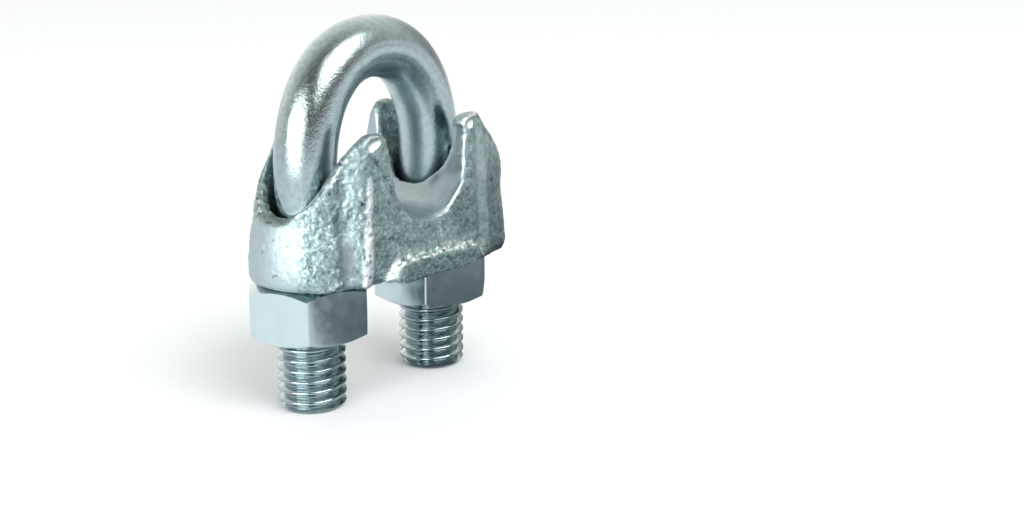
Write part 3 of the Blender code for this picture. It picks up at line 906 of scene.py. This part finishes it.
def rod_zinc():
    """Bright zinc plate: glossy, faintly mottled, with a fine orange-peel skin."""
    zinc = Nodes("bright zinc rod")
    mottle = zinc.noise(1500.0, 4.0, 0.65)
    bright = zinc.ramp(mottle, [(0.30, (0.30, 0.37, 0.385)), (0.62, (0.385, 0.47, 0.49))])
    # The matt ramp is lighter: painted light on the rod's inner sides, on top of their rougher
    # finish.
    matt_painted_lighter = zinc.ramp(mottle, [(0.30, (0.37, 0.455, 0.48)), (0.62, (0.45, 0.55, 0.58))])
    zinc.link(zinc.mix(zinc.attribute("inner"), bright, matt_painted_lighter), zinc.shader.inputs["Base Color"])
    zinc.shader.inputs["Metallic"].default_value = 1.0
    rough = zinc.remap(zinc.noise(2600.0, 2.0), 0.3, 0.7, 0.08, 0.16)
    rough = zinc.math("ADD", rough, zinc.math("MULTIPLY", zinc.attribute("inner"), 0.20))
    zinc.link(rough, zinc.shader.inputs["Roughness"])
    depth = zinc.remap(zinc.attribute("peel"), 0.0, 1.0, 0.25, 1.0)
    peel = zinc.bump(zinc.math("MULTIPLY", zinc.noise(4300.0, 3.0, 0.7), depth), 0.034 * MM)
    dents = zinc.bump(zinc.noise(1900.0, 3.0, 0.6), 0.018 * MM, peel)
    zinc.link(dents, zinc.shader.inputs["Normal"])
    return zinc.material


def nut_zinc():
    """Satin zinc plate, very slightly mottled."""
    zinc = Nodes("bright zinc nut")
    colour = zinc.ramp(zinc.noise(350.0, 2.0),
                       [(0.3, (0.49, 0.59, 0.61)), (0.7, (0.53, 0.63, 0.65))])
    zinc.link(colour, zinc.shader.inputs["Base Color"])
    zinc.shader.inputs["Metallic"].default_value = 1.0
    rough = zinc.remap(zinc.noise(900.0, 2.0), 0.3, 0.7, 0.16, 0.24)
    zinc.link(rough, zinc.shader.inputs["Roughness"])
    zinc.link(zinc.bump(zinc.noise(1200.0, 2.0), 0.003 * MM), zinc.shader.inputs["Normal"])
    return zinc.material


def cast_zinc():
    """Zinc over a sand-cast skin: sparkling grain, dark pits, bright worn edges, a painted sheen in
    the right flute, and painted shade on the right boss.
    """
    zinc = Nodes("zinc on malleable iron")
    clusters = zinc.math("MULTIPLY", zinc.noise(1000.0, 3.0, 0.6), 0.45)
    grain = zinc.math("ADD", zinc.math("MULTIPLY", zinc.noise(3000.0, 4.0, 0.7), 0.55), clusters)
    body = zinc.ramp(grain, [(0.38, (0.13, 0.185, 0.19)), (0.47, (0.26, 0.36, 0.37)),
                             (0.56, (0.35, 0.46, 0.47)), (0.64, (0.64, 0.75, 0.76))])
    smoother = zinc.mix(zinc.math("MAXIMUM", zinc.attribute("seat"), zinc.attribute("boss")),
                        body, (0.38, 0.465, 0.485))
    # Painted shade on the right boss and the front face: their colour goes up to about half way to
    # near black.
    with_painted_shade = zinc.mix(zinc.math("MULTIPLY", zinc.attribute("painted_shade"), 0.48),
                      smoother, (0.05, 0.075, 0.08))
    dirty = zinc.mix(zinc.math("MULTIPLY", zinc.attribute("top"), 0.35),
                     with_painted_shade, (0.17, 0.20, 0.195))
    pitted = zinc.mix(zinc.attribute("pits"), dirty, (0.08, 0.10, 0.10))
    # The wear mask also carries the painted sheen of the right front flute.
    colour = zinc.mix(zinc.attribute("worn"), pitted, (0.90, 0.96, 0.96))
    zinc.link(colour, zinc.shader.inputs["Base Color"])
    zinc.shader.inputs["Metallic"].default_value = 1.0
    rough = zinc.remap(zinc.noise(1700.0, 2.0), 0.3, 0.7, 0.28, 0.44)
    rough = zinc.math("ADD", rough, zinc.math("MULTIPLY", zinc.attribute("boss"), 0.15))
    zinc.link(rough, zinc.shader.inputs["Roughness"])
    calm = zinc.math("MAXIMUM", zinc.attribute("seat"),
                     zinc.math("MULTIPLY", zinc.attribute("boss"), 0.8))
    cast = zinc.math("SUBTRACT", 1.0, zinc.math("MULTIPLY", calm, 0.9))
    fine = zinc.bump(zinc.math("MULTIPLY", zinc.noise(5200.0, 3.0, 0.6), cast), 0.035 * MM)
    coarse = zinc.bump(zinc.math("MULTIPLY", zinc.noise(1500.0, 4.0, 0.65), cast), 0.15 * MM, fine)
    zinc.link(coarse, zinc.shader.inputs["Normal"])
    return zinc.material


# -------------------------------------------------- camera, floor and light


def make_camera():
    back = direction(0.0, CAMERA_ELEVATION)
    up = back.cross(CAMERA_RIGHT)
    aim = Vector((MIDDLE_X, LEG_Y, AIM_HEIGHT)) + CAMERA_RIGHT * AIM_RIGHT - up * AIM_DOWN
    data = bpy.data.cameras.new("camera")
    data.lens = CAMERA_LENS
    data.sensor_width = CAMERA_SENSOR
    data.clip_start = 0.005
    data.clip_end = 20.0
    camera = add_object("camera", data)
    turn = Matrix((CAMERA_RIGHT, up, back)).transposed().to_4x4()
    camera.matrix_world = Matrix.Translation(aim + back * CAMERA_DISTANCE) @ turn
    bpy.context.scene.camera = camera


def make_floor():
    bm = bmesh.new()
    bmesh.ops.create_grid(bm, x_segments=1, y_segments=1, size=4.0)
    floor = add_object("floor", mesh_from("floor", bm))
    paint = Nodes("pale floor")
    paint.shader.inputs["Base Color"].default_value = (0.78, 0.812, 0.83, 1.0)
    paint.shader.inputs["Roughness"].default_value = 0.7
    paint.shader.inputs["Specular IOR Level"].default_value = 0.2
    floor.data.materials.append(paint.material)


def soft_box(name, shape, azimuth, elevation, distance, width, height, radiance, roll=0.0):
    data = bpy.data.lights.new(name, "AREA")
    data.shape = shape
    data.size = width
    data.size_y = height
    data.energy = radiance * math.pi * width * height
    light = add_object(name, data)
    way = direction(azimuth, elevation)
    target = Vector((MIDDLE_X, LEG_Y, AIM_HEIGHT))
    light.location = target + way * distance
    light.rotation_mode = "QUATERNION"
    spin = Quaternion((0.0, 0.0, 1.0), math.radians(roll))
    light.rotation_quaternion = way.to_track_quat("Z", "Y") @ spin
    return light


def make_card(name, first, last, near, far, colour):
    """Card lying on the floor about the clip, which only reflections see."""
    bm = bmesh.new()
    rows = []
    slices = 12
    for i in range(slices + 1):
        way = direction(first + (last - first) * i / slices, 0.0)
        rows.append([bm.verts.new(way * near), bm.verts.new(way * far)])
    for a, b in zip(rows, rows[1:]):
        bm.faces.new((a[0], a[1], b[1], b[0]))
    card = add_object(name, mesh_from(name, bm))
    card.location = (MIDDLE_X, LEG_Y, 0.3 * MM)
    paint = Nodes(name)
    paint.shader.inputs["Base Color"].default_value = (*colour, 1.0)
    paint.shader.inputs["Roughness"].default_value = 0.9
    card.data.materials.append(paint.material)
    card.visible_camera = False
    card.visible_diffuse = False
    card.visible_shadow = False


WORLD_DARKEST = (8.0, 15.0)     # direction of the room's darkest part
WORLD_STOPS = [(0.0, (1.50, 1.45, 1.40)), (0.30, (1.23, 1.20, 1.17)),
               (0.50, (0.86, 0.85, 0.83)), (0.70, (0.34, 0.32, 0.30)),
               (1.0, (0.22, 0.20, 0.185))]
WORLD_DIM_SPOT = (145.0, -2.0)  # a dimmer patch, low behind the clip


def make_world():
    """Pale room, darker on the camera's side, so that bright metal has contrast."""
    world = bpy.data.worlds.new("studio")
    bpy.context.scene.world = world
    world.use_nodes = True
    tree = world.node_tree
    ground = tree.nodes["Background"]
    coords = tree.nodes.new("ShaderNodeTexCoord")
    dot = tree.nodes.new("ShaderNodeVectorMath")
    dot.operation = "DOT_PRODUCT"
    dot.inputs[1].default_value = direction(*WORLD_DARKEST)
    tree.links.new(coords.outputs["Generated"], dot.inputs[0])
    ramp = tree.nodes.new("ShaderNodeValToRGB")
    fill_ramp(ramp.color_ramp, WORLD_STOPS)
    share = tree.nodes.new("ShaderNodeMapRange")
    share.inputs["From Min"].default_value = -1.0
    share.inputs["From Max"].default_value = 1.0
    tree.links.new(dot.outputs["Value"], share.inputs["Value"])
    tree.links.new(share.outputs["Result"], ramp.inputs["Fac"])
    shade = tree.nodes.new("ShaderNodeVectorMath")
    shade.operation = "DOT_PRODUCT"
    shade.inputs[1].default_value = direction(*WORLD_DIM_SPOT)
    tree.links.new(coords.outputs["Generated"], shade.inputs[0])
    dim = tree.nodes.new("ShaderNodeMapRange")
    dim.interpolation_type = "SMOOTHSTEP"
    dim.inputs["From Min"].default_value = 0.72
    dim.inputs["From Max"].default_value = 0.96
    dim.inputs["To Min"].default_value = 1.0
    dim.inputs["To Max"].default_value = 0.35
    tree.links.new(shade.outputs["Value"], dim.inputs["Value"])
    tree.links.new(ramp.outputs["Color"], ground.inputs["Color"])
    tree.links.new(dim.outputs["Result"], ground.inputs["Strength"])


# ----------------------------------------------------------------- assembly


def place(piece, node, finish):
    piece.data.materials.clear()
    piece.data.materials.append(finish)
    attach(piece, node)
    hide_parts(node)


make_camera()
make_floor()
make_world()
soft_box("left soft box", "ELLIPSE", -37.0, 12.0, 1.30, 1.45, 0.70, 5.4, -16.0)
soft_box("right soft box", "RECTANGLE", 45.0, 48.0, 1.30, 1.13, 0.94, 5.2)
make_card("near dark card", 0.0, 185.0, 5.0 * MM, 20.0 * MM, (0.22, 0.26, 0.275))
make_card("middle dark card", 36.0, 185.0, 20.0 * MM, 62.0 * MM, (0.055, 0.08, 0.09))
make_card("far dark card", 50.0, 185.0, 62.0 * MM, 110.0 * MM, (0.26, 0.30, 0.315))
make_card("white strip", -15.0, -9.0, 60.0 * MM, 400.0 * MM, (0.97, 0.97, 0.97))
make_card("grey card", 0.0, 50.0, 95.0 * MM, 170.0 * MM, (0.70, 0.75, 0.78))
bpy.context.scene.view_settings.view_transform = "Standard"

place(build_u_bolt(), "u_bolt", rod_zinc())
place(build_saddle(), "saddle", cast_zinc())
nut_finish = nut_zinc()
place(build_nut("nut_left", LEFT_AXIS), "nut_left", nut_finish)
place(build_nut("nut_right", RIGHT_AXIS), "nut_right", nut_finish)
